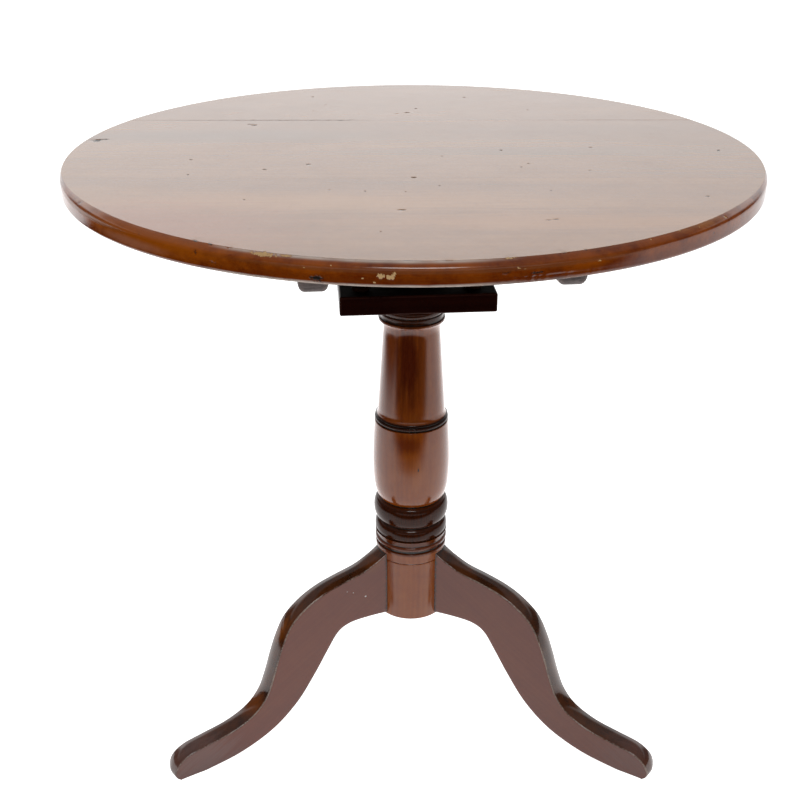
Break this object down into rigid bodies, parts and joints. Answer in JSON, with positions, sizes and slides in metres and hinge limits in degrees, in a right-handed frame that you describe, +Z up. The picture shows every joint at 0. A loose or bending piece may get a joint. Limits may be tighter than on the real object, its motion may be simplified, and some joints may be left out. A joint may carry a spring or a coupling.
{
  "type": "tilt-top tripod table",
  "caption": "Round tilt-top table: the top turns on a small wooden cage and tips upright over a turned pillar on cabriole legs.",
  "frame": {"origin": "on the floor, under the pillar's axis", "axes": "+Z up along the pillar; -Y is the front, between the two front legs, over which the top hinges; +X to the right seen from the front"},
  "size_m": [0.7198, 0.7198, 0.7],
  "materials": {
    "top_wood": "polished brown hardwood with a worn, glossy wax surface",
    "dark_wood": "dark stained hardwood, dull under the top",
    "red_wood": "reddish-brown stained hardwood with a waxed sheen",
    "brass": "dull aged brass",
    "screw_steel": "dark wood screws",
    "spring_steel": "bright spring wire"
  },
  "bodies": {
    "base": {"pillar": "red_wood", "leg_left": "red_wood", "leg_right": "red_wood", "leg_back": "red_wood", "post_collar": "dark_wood", "post_wedge": "dark_wood"},
    "cage": {"cage_lower_plate": "dark_wood", "cage_upper_plate": "dark_wood", "colonnette_front_left": "dark_wood", "colonnette_front_right": "dark_wood", "colonnette_back_left": "dark_wood", "colonnette_back_right": "dark_wood", "catch_keep": "brass", "keep_screws": "brass"},
    "top": {"top_board_front": "top_wood", "top_board_middle": "top_wood", "top_board_back": "top_wood", "batten_left": "dark_wood", "batten_right": "dark_wood", "batten_screws": "screw_steel", "catch_case": "brass", "catch_cover": "brass", "catch_spring": "spring_steel", "catch_screws": "brass"},
    "bolt": {"catch_bolt": "brass", "catch_knob": "brass"}
  },
  "joints": [
    {"name": "cage_spin", "type": "hinge", "parent": "base", "child": "cage", "pos_m": [0, 0, 0.56], "axis": [0, 0, 1], "continuous": true},
    {"name": "top_tilt", "type": "hinge", "parent": "cage", "child": "top", "pos_m": [0.00565, -0.07178, 0.6682], "axis": [0.9969, 0.0785, 0], "range_deg": [0, 90]},
    {"name": "catch_slide", "type": "slide", "parent": "top", "child": "bolt", "axis": [-0.0785, 0.9969, 0], "range_m": [0, 0.0075], "stiffness_N_per_m": 400, "springref_m": -0.01, "deforming": ["catch_spring"]}
  ]
}
